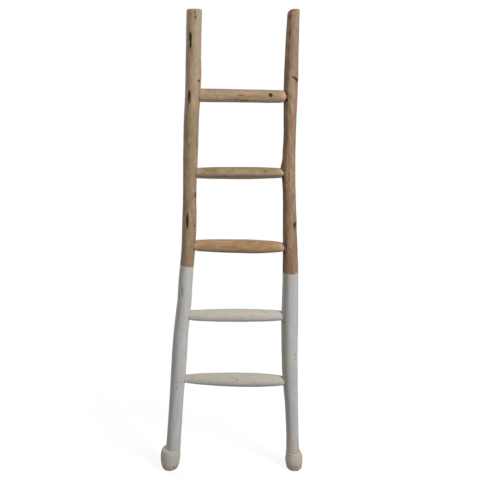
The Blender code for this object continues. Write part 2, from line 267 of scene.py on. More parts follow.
for pole_name, pole in POLES.items():
    rings = upright_rings("pole_" + pole_name, pole["side"])
    pole["bottom"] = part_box(pole["foot"])[1].z + 0.0003
    pole["rings"] = rings[rings[:, 0] >= pole["bottom"] - 0.0001]
    pole["nails"] = nail_places(pole_name)


def straight(angle, height, radius=PLAIN_RADIUS):
    """Where points of a stick would be if it were straight, upright and round."""
    return np.stack([radius * np.sin(angle), -radius * np.cos(angle), height], axis=-1)


def crack_shape(pole, girth, height, angle, stretch, half_width):
    """A pole's drying crack: exp(-(arc / half width)^2) about a line that wavers by 0.6 mm, fading out
    downwards over the crack's length times a stretch."""
    crack_angle, _, length = pole["crack"]
    arc = girth * turn_from(angle, np.radians(crack_angle)) + 0.0006 * np.sin(height * 420)
    top = pole["rings"][-1, 0]
    return eased(height, top - stretch * length, top) * np.exp(-((arc / half_width) ** 2))


def pole_radius(name, height, angle):
    """Radius of a pole's skin: its girth, swollen and pinched by a slow wander, cut by the flats, raised at
    the shoulders, and hollowed at scars, nail dimples and the drying crack."""
    pole = POLES[name]
    girth = pole_middle(name, height)[..., 2]
    place = straight(angle, height)
    radius = girth * (1 + POLE_SWELL * wander(place, (0.05, 0.05, 0.3), pole["seed"]))
    radius = radius + POLE_RIPPLE * wander(place, (0.016, 0.016, 0.055), pole["seed"] + 1)
    for flat_angle, depth, middle, reach in pole["flats"]:
        deep = depth * np.exp(-(((height - middle) / reach) ** 2)) - 0.0006
        radius = shaved(radius, angle, flat_angle, deep)
    for middle, bump_angle, reach, rise in pole["shoulders"]:
        turn = turn_from(angle, np.radians(bump_angle))
        radius = radius + rise * np.exp(-((turn / 0.5) ** 2) - ((height - middle) / reach) ** 2)
    radius = notched(radius, pole["scars"], girth, height, angle, 2.6)
    for nail_height, nail_angle in pole["nails"]:
        arc = girth * turn_from(angle, nail_angle)
        radius = radius - NAIL_DIMPLE * scar_shape(arc, height - nail_height, DIMPLE_RADIUS, DIMPLE_RADIUS)
    return radius - pole["crack"][1] * crack_shape(pole, girth, height, angle, 1, 0.0009)


def crowded(low, high, step, busy, fine, reach):
    """Heights from low to high, a step apart, but close to fine apart within reach of the busy places:
    equal shares of the running total of 1 / spacing."""
    fine_steps = np.linspace(low, high, CROWD_STEPS)
    near = np.exp(-(((fine_steps[:, None] - np.array(busy)) / reach) ** 2)).max(axis=1)
    density = 1 / step + near * (1 / fine - 1 / step)
    total = np.concatenate([[0], np.cumsum((density[1:] + density[:-1]) / 2 * np.diff(fine_steps))])
    return np.interp(np.linspace(0, total[-1], int(total[-1]) + 1), total, fine_steps)


def round_angles(columns, front, crowding):
    """Angles once round a stick: t - crowding * sin t about the front, so that columns crowd together
    there."""
    t = np.arange(columns) * 2 * np.pi / columns - np.pi
    return front + t - crowding * np.sin(t)


def placed(name, data):
    """A new object in the scene."""
    made = bpy.data.objects.new(name, data)
    bpy.context.scene.collection.objects.link(made)
    return made


def closed_skin(name, grid, layers, facing=1):
    """A closed skin over a grid of points. Its columns run once round the piece, and its first and last
    rows each close on one point, their mean. A layer is a value or a vector for each point, kept as an
    attribute."""
    rows, columns = grid.shape[:2]
    first, last = rows * columns, rows * columns + 1
    here = np.arange(rows * columns).reshape(rows, columns)
    beside = np.roll(here, -facing, axis=1)
    quads = np.stack([here[:-1], beside[:-1], beside[1:], here[1:]], axis=-1).reshape(-1, 4)
    start = np.stack([beside[0], here[0], np.full(columns, first)], axis=-1)
    end = np.stack([here[-1], beside[-1], np.full(columns, last)], axis=-1)
    mesh = bpy.data.meshes.new(name)
    points = np.concatenate([grid.reshape(-1, 3), grid[[0, -1]].mean(axis=1)])
    mesh.from_pydata(points.tolist(), [], [*quads.tolist(), *start.tolist(), *end.tolist()])
    for title, values in layers.items():
        vector = values.ndim == 3
        ends = values[[0, -1]].mean(axis=1).reshape(2, -1)
        flat = np.concatenate([values.reshape(rows * columns, -1), ends])
        kept = mesh.attributes.new(title, "FLOAT_VECTOR" if vector else "FLOAT", "POINT")
        kept.data.foreach_set("vector" if vector else "value", flat.astype(np.float32).ravel())
    mesh.shade_smooth()
    return placed(name, mesh)


def pole_grid(name, columns, front):
    """Rows of points from the tenon's end up to the middle of the sawn top, with the angle of each
    point."""
    pole = POLES[name]
    rings = pole["rings"]
    busy = [height for height, _ in pole["nails"]]
    busy += [scar[0] for scar in pole["scars"] if scar[2] < SMALL_SCAR]
    angle = round_angles(columns, front, FRONT_CROWDING)
    drop, sawn_radius, shift = pole["crown"]
    top = rings[-1, 0]
    heights = crowded(pole["bottom"], top - drop, POLE_ROW, busy, FINE_ROW, FINE_REACH)
    height, turn = np.meshgrid(heights, angle, indexing="ij")
    centre = pole_middle(name, height)
    radius = pole_radius(name, height, turn)
    body = straight(turn, height, radius)
    body[..., :2] += centre[..., :2]
    foot_centre = rings[0, 1:3]
    tenon = []
    for share, down in ((0.3, 1), (0.93, 1), (1, 0.97), (1, 0.6), (1, 0.2), (1, 0)):
        ring = straight(angle, np.full(columns, pole["bottom"] - down * TENON_LENGTH), TENON_RADIUS * share)
        tenon.append(ring + np.array([foot_centre[0], foot_centre[1], 0]))
    middle = np.array([centre[-1, 0, 0] + shift, centre[-1, 0, 1], top])
    rim, sawn = body[-1], straight(angle, 0 * angle, sawn_radius) + middle
    turn_over = (np.arange(CROWN_ROWS) + 1)[:, None, None] / CROWN_ROWS * np.pi / 2
    inwards = 1 - np.cos(turn_over)
    crown = rim + (sawn - rim) * np.concatenate([inwards, inwards, np.sin(turn_over)], axis=2)
    share = np.linspace(1, 0.04, SAWN_ROWS + 1)[1:, None, None]
    face = straight(angle, 0 * angle, sawn_radius) * share + middle
    face[..., 2] -= 0.0004 * (1 - share[..., 0] ** 8)
    grid = np.concatenate([np.array(tenon), body, crown, face])
    return grid, np.broadcast_to(angle, grid.shape[:2])


def scar_and_shadow_darkness(name, height, angle):
    """How dark each point of a pole is from its scars, the shadows painted below rung ends, its nails and its
    drying crack, from 0 to 1.
    """
    pole = POLES[name]
    dark = scar_and_shadow_stain(pole["scars"], PLAIN_RADIUS, height, angle, 1.2)
    for nail_height, nail_angle in pole["nails"]:
        arc = PLAIN_RADIUS * turn_from(angle, nail_angle)
        dark = np.maximum(dark, NAIL_STAIN * scar_shape(arc, height - nail_height, 0.004, 0.005))
    return np.maximum(dark, CRACK_STAIN * crack_shape(pole, PLAIN_RADIUS, height, angle, 1.6, 0.0028))


def dip_depth(name, height, angle):
    """How far each point lies below the edge of the paint: a tilted line, pulled down in runs where the
    wood's grain drew the paint away."""
    line, tilt, ragged = POLES[name]["dip"]
    runs = wander(straight(angle, 0 * height), (0.011, 0.011, 1.0), POLES[name]["seed"] + 5)
    return line - tilt * np.sin(angle) - ragged * np.abs(runs) - height


# --- Node helpers for the wood and paint of every piece ---

SHEEN = 0.32                 # specular level of wood and matte paint


def new_material(name):
    """A node material and its tree."""
    material = bpy.data.materials.new(name)
    material.use_nodes = True
    return material, material.node_tree


def put(tree, socket, value):
    """Links a socket to another socket, or sets its value."""
    if isinstance(value, bpy.types.NodeSocket):
        tree.links.new(value, socket)
    elif isinstance(value, tuple) and len(value) == 3 and socket.type == "RGBA":
        socket.default_value = (*value, 1.0)
    else:
        socket.default_value = value


def node(tree, kind, inputs, output=0, **settings):
    """One output of a new node, given its settings and its inputs by name or place."""
    made = tree.nodes.new("ShaderNode" + kind)
    for title, value in settings.items():
        setattr(made, title, value)
    for title, value in inputs.items():
        put(tree, made.inputs[title], value)
    return made.outputs[output]


def layer(tree, name, vector=False):
    """An attribute of the mesh."""
    return node(tree, "Attribute", {}, "Vector" if vector else "Fac", attribute_name=name)


def stretched(tree, vector, scale, move=(0, 0, 0)):
    """Coordinates multiplied by a scale along each axis, then moved."""
    return node(tree, "Mapping", {"Vector": vector, "Scale": scale, "Location": move}, "Vector")


def noise(tree, vector, scale, detail=2, roughness=0.5, bend=0):
    """Cloudy noise from 0 to 1, mostly near a half."""
    inputs = {"Vector": vector, "Scale": scale, "Detail": detail, "Roughness": roughness, "Distortion": bend}
    return node(tree, "TexNoise", inputs, "Fac")


def clouds(tree, grain, across, along, move=(0, 0, 0), detail=3, roughness=0.6, bend=0):
    """Noise with one scale across a stick and another along it."""
    return noise(tree, stretched(tree, grain, (across, across, along), move), 1, detail, roughness, bend)


def sums(tree, operation, a, b=0, c=0):
    """One step of arithmetic."""
    return node(tree, "Math", dict(enumerate((a, b, c))), operation=operation)


def between(tree, value, low, high, out_low=0, out_high=1):
    """Eases from out_low to out_high as a value goes from low to high."""
    inputs = dict(enumerate((value, low, high, out_low, out_high)))
    return node(tree, "MapRange", inputs, "Result", interpolation_type="SMOOTHSTEP")


def blend(tree, share, a, b, kind="MIX"):
    """Colour a turned into b by a share."""
    return node(tree, "Mix", {"Factor": share, 6: a, 7: b}, 2, data_type="RGBA", blend_type=kind)


def tinted(tree, colour, name, share, tint, kind="MIX"):
    """A colour turned into a tint, by a share where an attribute is 1, easing to none where it is 0."""
    return blend(tree, between(tree, layer(tree, name), 0, 1, 0, share), colour, tint, kind)


def relief(tree, height, distance, strength, under=None):
    """A bump from a height, on top of another bump if one is given."""
    inputs = {"Distance": distance, "Strength": strength, "Height": height}
    if under is not None:
        inputs["Normal"] = under
    return node(tree, "Bump", inputs, "Normal")


def surface(material, colour, roughness, normal, specular=SHEEN, metallic=0):
    """Gives a material's shader its inputs."""
    inputs = material.node_tree.nodes["Principled BSDF"].inputs
    for title, value in (
        ("Base Color", colour), ("Roughness", roughness), ("Normal", normal),
        ("Specular IOR Level", specular), ("Metallic", metallic),
    ):
        put(material.node_tree, inputs[title], value)
    return material


def wood_tone(tree, grain, tones):
    """Shaved sapwood: broad bands of pale and deep wood along the stick, blotches of a pink, a green, a
    grey and an amber cast, thin darker growth lines, short dark pores, cloudy mottling, and fine fibres.
    Returns its colour and its fibres' height."""
    broad = clouds(tree, grain, 32, 5, bend=0.4)
    colour = blend(tree, between(tree, broad, 0.4, 0.6), tones["deep"], tones["pale"])
    for cast, across, along, move, low in (
        ("blush", 52, 13, (3, 1, 5), 0.49), ("moss", 66, 9, (7, 2, 9), 0.51),
        ("grey", 84, 17, (1, 5, 2), 0.53), ("amber", 74, 20, (6, 9, 3), 0.54),
    ):
        blotch = clouds(tree, grain, across, along, move, bend=0.3)
        colour = blend(tree, between(tree, blotch, low, low + 0.13, 0, 0.85), colour, tones[cast])
    lines = clouds(tree, grain, 190, 4.2, (1, 8, 4), bend=0.4)
    near_line = sums(tree, "ABSOLUTE", sums(tree, "SUBTRACT", lines, 0.5))
    colour = blend(tree, between(tree, near_line, 0.0, 0.045, 0.38, 0.0), colour, tones["line"])
    pores = clouds(tree, grain, 640, 48, (2, 4, 6), detail=2, roughness=0.5)
    colour = blend(tree, between(tree, pores, 0.64, 0.74, 0, 0.65), colour, tones["line"])
    mottle = clouds(tree, grain, 120, 50, (4, 6, 7))
    colour = blend(tree, 0.25, colour, between(tree, mottle, 0.36, 0.66, 0.76, 1.32), "MULTIPLY")
    fibre = clouds(tree, grain, 1100, 26)
    colour = blend(tree, 0.3, colour, between(tree, fibre, 0.3, 0.68, 0.35, 1.0), "MULTIPLY")
    return colour, sums(tree, "MULTIPLY_ADD", near_line, 2.0, fibre)


def scarred_and_shaded(tree, colour, grain, scar, heart):
    """Wood darkened at its scars, and at shadows painted as scars: a ragged brown stain, and a nearly black
    heart.
    """
    ragged = clouds(tree, grain, 420, 90)
    edge = sums(tree, "MULTIPLY_ADD", sums(tree, "SUBTRACT", ragged, 0.5), 0.5, scar)
    stained = blend(tree, between(tree, edge, 0.06, 0.5, 0, 0.8), colour, heart["stain"])
    return blend(tree, between(tree, edge, 0.36, 0.68, 0, 0.94), stained, heart["core"])


def thin_paint(tree, wood, grain, scar, tints):
    """Thin matte paint over wood: chalky white with cool, warm and lilac patches and fine specks, wood
    showing faintly through in streaks, and scars, and shadows painted as scars, bleeding through as soft
    grey. Returns its colour and the height of its streaks."""
    patch = clouds(tree, grain, 36, 8, (2, 6, 1), roughness=0.55)
    colour = blend(tree, between(tree, patch, 0.38, 0.62), tints["cool"], tints["warm"])
    streak = clouds(tree, grain, 150, 5, (4, 1, 3), detail=4)
    worn = clouds(tree, grain, 30, 6, (9, 5, 2), detail=2, roughness=0.5)
    worn = between(tree, worn, 0.42, 0.66, 0.25, 1)
    thin = sums(tree, "MULTIPLY", between(tree, streak, 0.48, 0.68), worn)
    colour = blend(tree, sums(tree, "MULTIPLY", thin, tints["show"]), colour, wood)
    lilac = clouds(tree, grain, 95, 24, (8, 3, 6))
    colour = blend(tree, between(tree, lilac, 0.5, 0.64, 0, 0.55), colour, tints["lilac"])
    speck = clouds(tree, grain, 330, 190, roughness=0.7)
    colour = blend(tree, 0.26, colour, between(tree, speck, 0.3, 0.62, 0.2, 1.0), "MULTIPLY")
    return blend(tree, between(tree, scar, 0.05, 0.9, 0, 0.85), colour, tints["bleed"]), streak


def dipped_material(name, tones, tints, heart):
    """A pole's finish: wood above the dip line, toasted low down and with shade painted into its colour down
    its left flank, and paint below it, with shade painted into it left of the front, and yellower near the
    foot.
    The paint's edge follows the fibres."""
    material, tree = new_material(name)
    grain = layer(tree, "grain", vector=True)
    scar = layer(tree, "scar")
    wood, fibre = wood_tone(tree, grain, tones)
    wood = tinted(tree, wood, "toast", 0.75, tones["toast"], "MULTIPLY")
    # shade painted into the wood's colour down its left flank, away from the key light
    wood = tinted(tree, wood, "wood_flank_shade", 0.65, tones["wood_flank_shade"])
    bare = scarred_and_shaded(tree, wood, grain, scar, heart)
    paint, streak = thin_paint(tree, wood, grain, scar, tints)
    # shade painted into the paint's colour just left of the front
    paint = tinted(tree, paint, "shade", tints["dim"], tints["flank"])
    paint = tinted(tree, paint, "low", 0.7, tints["low"])
    edge = clouds(tree, grain, 520, 60, detail=2, roughness=0.5)
    depth = sums(tree, "MULTIPLY_ADD", sums(tree, "SUBTRACT", edge, 0.5), 0.004, layer(tree, "dip"))
    painted = between(tree, depth, -0.0002, 0.0008)
    film = relief(tree, painted, 0.0003, 0.8)
    return surface(
        material, blend(tree, painted, bare, paint), between(tree, painted, 0, 1, 0.62, 0.74),
        relief(tree, between(tree, painted, 0, 1, fibre, streak), 0.0004, 0.45, film),
    )


def sawn_material(name, pale, dark, pith):
    """A sawn end: growth rings about an off-centre pith, darkened rays, and the saw's parallel
    scratches."""
    material, tree = new_material(name)
    face = layer(tree, "grain", vector=True)
    flat = stretched(tree, face, (1.0, 1.0, 0.0), (pith[0], pith[1], 0.0))
    bent = noise(tree, flat, 70.0, 2.0)
    length = node(tree, "VectorMath", {0: flat}, "Value", operation="LENGTH")
    wavy = sums(tree, "MULTIPLY_ADD", bent, 0.0032, length)
    ring = sums(tree, "SINE", sums(tree, "MULTIPLY", wavy, 3300.0))
    colour = blend(tree, between(tree, ring, -0.2, 1.0, 0, 0.75), pale, dark)
    blotch = noise(tree, flat, 160.0, 3.0)
    colour = blend(tree, between(tree, blotch, 0.4, 0.7, 0, 0.5), colour, dark)
    heart = between(tree, length, 0.0012, 0.003, 0.85, 0.0)
    colour = blend(tree, heart, colour, (0.06, 0.034, 0.018))
    scratch = noise(tree, stretched(tree, face, (2600.0, 60.0, 0.0)), 1.0, 2.0)
    rough = relief(tree, sums(tree, "ADD", scratch, ring), 0.0002, 0.5)
    return surface(material, colour, 0.85, rough, 0.2)


# Knot stain colours, also used for the shadows painted below rung ends on the bare right pole.
DARK_HEART_AND_SHADOW = {"stain": (0.15, 0.07, 0.03), "core": (0.04, 0.017, 0.009)}
# The last tone of each pole is the shade painted into its bare wood down the left flank.
POLE_TONES = {
    "left": {
        "pale": (0.59, 0.455, 0.29), "deep": (0.45, 0.32, 0.195), "blush": (0.48, 0.315, 0.23),
        "moss": (0.43, 0.375, 0.205), "grey": (0.41, 0.335, 0.26), "line": (0.27, 0.17, 0.09),
        "amber": (0.43, 0.265, 0.14), "toast": (0.74, 0.665, 0.62), "wood_flank_shade": (0.3, 0.232, 0.195),
    },
    "right": {
        "pale": (0.54, 0.38, 0.24), "deep": (0.33, 0.205, 0.122), "blush": (0.42, 0.25, 0.172),
        "moss": (0.33, 0.26, 0.13), "grey": (0.35, 0.265, 0.21), "line": (0.165, 0.095, 0.048),
        "amber": (0.35, 0.195, 0.095), "toast": (0.87, 0.79, 0.73), "wood_flank_shade": (0.11, 0.07, 0.05),
    },
}
# In each dip, the flank colour, at the dim share, is shade painted into the paint left of the front.
WHITE_DIP = {
    "left": {
        "cool": (0.58, 0.588, 0.588), "warm": (0.6, 0.572, 0.54), "bleed": (0.23, 0.225, 0.195), "show": 0.34,
        "lilac": (0.545, 0.535, 0.565),
        "flank": (0.4, 0.355, 0.305), "dim": 0.25, "low": (0.5, 0.47, 0.405),
    },
    "right": {
        "cool": (0.55, 0.552, 0.552), "warm": (0.56, 0.535, 0.5), "bleed": (0.21, 0.19, 0.17), "show": 0.34,
        "lilac": (0.51, 0.5, 0.53),
        "flank": (0.345, 0.297, 0.238), "dim": 0.55, "low": (0.52, 0.455, 0.38),
    },
}

for pole_name, pole in POLES.items():
    nail_angle = np.mean([angle for _, angle in pole["nails"]])
    grid, turn = pole_grid(pole_name, POLE_COLUMNS, nail_angle)
    height = grid[..., 2]
    middle = pole_middle(pole_name, np.minimum(height, pole["rings"][-2, 0]))
    grain = np.concatenate([grid[..., :2] - middle[..., :2], height[..., None]], axis=-1)
    # Shade is painted into the bare wood down the left flank, and into the paint just left of the front.
    share, *spans = pole["wood_flank_shade"]
    leftwards = -np.degrees(turn)
    wood_flank_shade_share = share * eased(leftwards, *spans[0]) + (1 - share) * eased(leftwards, *spans[1])
    wood_flank_shade_share = wood_flank_shade_share * eased(leftwards, *WOOD_FLANK_SHADE_END)
    shade = eased(leftwards, *DIMMED[0]) * (1 - eased(leftwards, *DIMMED[1]))
    piece = closed_skin(
        pole_name + "_pole", grid,
        {
            # the scar layer also carries the shadows painted below three rung ends on the right pole
            "grain": grain, "scar": scar_and_shadow_darkness(pole_name, height, turn),
            "dip": dip_depth(pole_name, height, turn), "wood_flank_shade": wood_flank_shade_share,
            "toast": eased(height, *TOASTED), "low": eased(height, *YELLOWED), "shade": shade,
        },
    )
    piece.data.materials.append(
        dipped_material("dipped wood " + pole_name, POLE_TONES[pole_name], WHITE_DIP[pole_name], DARK_HEART_AND_SHADOW)
    )
    piece.data.materials.append(
        sawn_material("sawn end " + pole_name, (0.47, 0.35, 0.21), (0.29, 0.19, 0.1), (0.003, -0.002))
    )
    sawn = np.zeros(len(piece.data.polygons), np.int32)
    skin_faces = (len(grid) - 1) * POLE_COLUMNS
    sawn[skin_faces - SAWN_ROWS * POLE_COLUMNS:skin_faces] = 1
    sawn[-POLE_COLUMNS:] = 1
    piece.data.polygons.foreach_set("material_index", sawn)
    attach(piece, "root")
    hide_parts("pole_" + pole_name)


# --------
# Rungs. Five spindles shaved round by hand from split wood, thinner towards their ends, each with a round
# tenon in both poles and its shoulders cut to the poles' curve. The upper three are bare, the lower two are
# dipped in the same paint, thinner and creamier than on the poles.
# --------

RUNG_COLUMNS = 96
RUNG_ROW = 0.0016
PINK_END = (0.002, 0.03)     # distances from the shoulder between which the end's pink fades out
RUNG_SWELL = 0.01            # how far the girth wanders, as a share of it
RUNG_RIPPLE = 0.0002         # height of the small knife marks
END_ARRIS = 0.0005           # how much an end is rounded off where it meets the pole
END_ARRIS_REACH = 0.0016
END_SINK = 0.0005            # how far its shoulders are pressed into the pole

# Angles are degrees from the front up towards the top. A flat is (angle, depth, x of its middle, half
# length). A scar is (x, angle, half length, half width, depth, darkness). A nose, at the left or right end,
# is how far its tip lies past the pole's skin, then how much of the radius is shaved away at the tip, and
# over what length, at the front and back, on top and below. The underside is (angle below the front where
# it starts, where it is full): shade is painted into the colour there.
RUNGS = {
    "top": {
        "seed": 41, "shaded_underside": (12, 48), "shift": 0.3, "finish": "bare",
        "flats": (
            (-48, 0.0016, 0.02, 0.12), (40, 0.0008, -0.03, 0.09), (110, 0.0012, 0.04, 0.12),
            (-130, 0.001, 0, 0.1),
        ),
        "scars": (
            (0.1275, 15, 0.0058, 0.0058, 0.0012, 1.0), (0.03, 8, 0.013, 0.0026, 0.0003, 0.48),
            (0.124, 24, 0.009, 0.006, 0.0001, 0.22),
            (0.045, -42, 0.016, 0.004, 0.0002, 0.45), (0.02, -30, 0.01, 0.004, 0.0002, 0.35),
            (0.105, -10, 0.012, 0.0012, 0.0001, 0.3), (0.162, -25, 0.006, 0.003, 0.0002, 0.35),
        ),
        "nose": {
            "left": (0.004, (0.27, 0.045), (0.4, 0.005), (0.4, 0.005)),
            "right": (0.005, (0.2, 0.014), (0.38, 0.005), (0.5, 0.017)),
        },
    },
    "upper": {
        "seed": 43, "shaded_underside": (-16, 14), "shift": 0.9, "finish": "bare",
        "flats": ((-46, 0.004, 0.04, 0.17), (30, 0.0008, -0.02, 0.09), (120, 0.0014, 0, 0.12)),
        "scars": (
            (0.113, 32, 0.007, 0.0018, 0.0003, 0.6), (0.04, -14, 0.02, 0.0012, 0.0001, 0.35),
            (-0.03, -20, 0.03, 0.0014, 0.0001, 0.35),
        ),
        "nose": {
            "left": (0.003, (0.26, 0.045), (0.4, 0.005), (0.4, 0.005)),
            "right": (0.006, (0.06, 0.012), (0.26, 0.007), (0.26, 0.006)),
        },
    },
    "middle": {
        "seed": 47, "shaded_underside": (22, 52), "shift": 1.7, "finish": "bare",
        "flats": ((-50, 0.0016, 0, 0.14), (52, 0.0014, 0.06, 0.1), (150, 0.0014, 0.02, 0.12)),
        "scars": ((0.02, 4, 0.028, 0.003, 0.0001, 0.22), (0.06, -18, 0.018, 0.0026, 0.0001, 0.22)),
        "nose": {
            "left": (0.005, (0.14, 0.018), (0.55, 0.018), (0.5, 0.016)),
            "right": (0.005, (0.05, 0.016), (0.5, 0.018), (0.28, 0.01)),
        },
    },
    "lower": {
        "seed": 53, "shaded_underside": (-6, 30), "shift": 2.3, "finish": "painted",
        "flats": ((-45, 0.0014, 0.06, 0.12), (35, 0.001, -0.03, 0.09), (140, 0.0014, 0.02, 0.12)),
        "scars": ((-0.02, -42, 0.003, 0.0022, 0.0005, 0.95), (0.118, 5, 0.004, 0.0016, 0.0002, 0.4)),
        "nose": {
            "left": (0.006, (0.05, 0.016), (0.4, 0.014), (0.5, 0.018)),
            "right": (0.006, (0.05, 0.016), (0.36, 0.016), (0.16, 0.007)),
        },
    },
    "bottom": {
        "seed": 59, "shaded_underside": (0, 32), "shift": 3.1, "finish": "painted",
        "flats": ((-38, 0.0018, 0.03, 0.16), (30, 0.001, -0.03, 0.1), (140, 0.0014, 0.02, 0.12)),
        "scars": (
            (0.0025, 42, 0.0034, 0.0028, 0.0006, 0.75), (0.0205, 28, 0.0046, 0.0028, 0.0004, 0.65),
            (0.012, 33, 0.004, 0.0014, 0.0003, 0.5), (0.08, 4, 0.003, 0.0012, 0.0002, 0.4),
        ),
        "nose": {
            "left": (0.005, (0.05, 0.016), (0.45, 0.016), (0.5, 0.018)),
            "right": (0.005, (0.05, 0.016), (0.36, 0.018), (0.14, 0.01)),
        },
    },
}


def rung_rings(node, corners=16):
    """A CAD rung as its left end, its unit direction, its length, and its rings as rows of (distance along,
    radius). Its ends are the means of its 16 leftmost and its 16 rightmost corners. A ring is 16 corners at
    one distance along and one radius, wider than a tenon."""
    points = cad_points(node)
    points = points[np.argsort(points[:, 0])]
    left, right = points[:corners].mean(axis=0), points[-corners:].mean(axis=0)
    length = np.linalg.norm(right - left)
    axis = (right - left) / length
    along = (points - left) @ axis
    radius = np.linalg.norm(points - left - along[:, None] * axis, axis=1)
    order = np.argsort(along)
    ring = np.concatenate([[0], np.cumsum(np.diff(along[order]) > 0.0003)])
    counts = np.bincount(ring)
    station = np.bincount(ring, along[order]) / counts
    mean_radius = np.bincount(ring, radius[order]) / counts
    spread = np.bincount(ring, radius[order] ** 2) / counts - mean_radius ** 2
    whole = (counts == corners) & (spread < 1e-8) & (mean_radius > 0.012)
    return left, axis, length, np.stack([station[whole], mean_radius[whole]], axis=1)


def rung_radius(rung, along, angle):
    """Radius of a rung's skin: its turned outline, lumpy from the knife, cut by its flats, hollowed at its
    scars, and shaved to a nose at both ends. A nose takes a share of the radius that follows a quarter of
    an ellipse, from nothing at its reach to all of it at the tip, weighed at each angle by how far that
    faces the front or back, the top or below."""
    outline = smooth_through(rung["rings"][:, 0], rung["rings"][:, 1], along)
    place = straight(angle, along)
    radius = outline * (1 + RUNG_SWELL * wander(place, (0.04, 0.04, 0.12), rung["seed"]))
    radius = radius + RUNG_RIPPLE * wander(place, (0.014, 0.014, 0.045), rung["seed"] + 1)
    x = rung["left"][0] + along
    for flat_angle, depth, middle, reach in rung["flats"]:
        deep = depth * np.exp(-(((x - middle) / reach) ** 2)) - 0.0004
        radius = shaved(radius, angle, flat_angle, deep)
    radius = notched(radius, rung["scars"], outline, x, angle, 2.4)
    facings = (np.cos(angle) ** 2, np.maximum(np.sin(angle), 0) ** 2, np.maximum(-np.sin(angle), 0) ** 2)
    for side, from_skin in (("left", along - rung["skin"]["left"]), ("right", rung["skin"]["right"] - along)):
        past_skin, *shaves = rung["nose"][side]
        for facing, (lost, reach) in zip(facings, shaves):
            run = np.clip(1 - (from_skin + past_skin) / reach, 0, 1)
            radius = radius * (1 - facing * lost * (1 - np.sqrt(1 - run ** 2)))
    return radius


def rung_point(rung, along, angle, radius):
    """A point of a rung: along its axis, then out by a radius at an angle from the front up towards the
    top."""
    axis = rung["axis"]
    front = np.array([0.0, -1.0, 0.0]) + axis[1] * axis
    front = front / np.linalg.norm(front)
    up = np.cross(front, axis)
    up = up * np.sign(up[2])
    out = np.cos(angle)[..., None] * front + np.sin(angle)[..., None] * up
    return rung["left"] + along[..., None] * axis + radius[..., None] * out


def clear_of_pole(name, points):
    """How far points stand off a pole's skin, less than 0 inside it."""
    middle = pole_middle(name, points[..., 2])
    x, y = points[..., 0] - middle[..., 0], points[..., 1] - middle[..., 1]
    return np.hypot(x, y) - pole_radius(name, points[..., 2], np.arctan2(x, -y))


def crossing(rung, name, angle, radius_at):
    """Where lines along a rung cross a pole's skin, for each angle: the span from mid-rung to the pole's
    axis is halved thirty times around the crossing."""
    axis_x = pole_middle(name, np.array([rung["left"][2]]))[0, 0]
    outside = np.full(len(angle), rung["length"] / 2)
    inside = np.full(len(angle), (axis_x - rung["left"][0]) / rung["axis"][0])
    for _ in range(30):
        halfway = (outside + inside) / 2
        clear = clear_of_pole(name, rung_point(rung, halfway, angle, radius_at(halfway))) > 0
        outside = np.where(clear, halfway, outside)
        inside = np.where(clear, inside, halfway)
    return outside


def rung_grid(rung):
    """Rows of points from one shoulder to the other, closer together near both, with each point's distance
    along the axis, angle, distance from the nearer shoulder, and radius."""
    angle = round_angles(RUNG_COLUMNS, 0, 0.2)
    rung["skin"] = {name: crossing(rung, name, np.zeros(1), np.zeros_like)[0] for name in POLES}
    near = {
        name: crossing(rung, name, angle, lambda along: rung_radius(rung, along, angle)) for name in POLES
    }
    start, end = near["left"] - END_SINK, near["right"] + END_SINK
    rows = int(np.mean(end - start) / RUNG_ROW)
    share = np.linspace(-1, 1, rows)
    share = (0.5 + 0.5 * (0.75 * share + 0.25 * np.sin(share * np.pi / 2) ** 3))[:, None]
    along = start + (end - start) * (share - share[0]) / (share[-1] - share[0])
    turn = np.broadcast_to(angle, along.shape)
    to_end = np.minimum(along - near["left"], near["right"] - along)
    rounding = END_ARRIS * np.exp(-np.maximum(to_end, 0) / END_ARRIS_REACH)
    radius = rung_radius(rung, along, turn) - rounding
    return rung_point(rung, along, turn, radius), along, turn, to_end, radius


def bare_material(name, tones, heart):
    """A bare rung's finish: shaved wood, pinker near its ends, and darker below, where shade is painted into
    its colour."""
    material, tree = new_material(name)
    grain = layer(tree, "grain", vector=True)
    wood, fibre = wood_tone(tree, grain, tones)
    streak = clouds(tree, grain, 90, 9, (5, 3, 8), roughness=0.55)
    wood = blend(tree, between(tree, streak, 0.54, 0.7, 0, 0.7), wood, tones["streak"])
    wood = tinted(tree, wood, "end", 0.6, tones["end"])
    # shade painted into the colour on the rung's underside
    wood = tinted(tree, wood, "under", 0.65, tones["under"])
    wood = scarred_and_shaded(tree, wood, grain, layer(tree, "scar"), heart)
    roughness = between(tree, fibre, 0.2, 0.9, 0.55, 0.7)
    return surface(material, wood, roughness, relief(tree, fibre, 0.0004, 0.45))


def painted_material(name, tones, tints):
    """A dipped rung's finish: thin cream paint over wood, greyer below where shade is painted into it, warm
    where it thins near the ends."""
    material, tree = new_material(name)
    grain = layer(tree, "grain", vector=True)
    wood, _ = wood_tone(tree, grain, tones)
    paint, streak = thin_paint(tree, wood, grain, layer(tree, "scar"), tints)
    patch = clouds(tree, grain, 70, 24, detail=2, roughness=0.5)
    # Of these, the under tint is painted shade; the warm end tint is the paint's own colour.
    for title, share in (("under", 0.8), ("end", 0.75)):
        ragged = sums(tree, "MULTIPLY_ADD", sums(tree, "SUBTRACT", patch, 0.5), 0.8, layer(tree, title))
        paint = blend(tree, between(tree, ragged, 0.1, 0.9, 0, share), paint, tints[title])
    return surface(material, paint, 0.72, relief(tree, streak, 0.0004, 0.45))


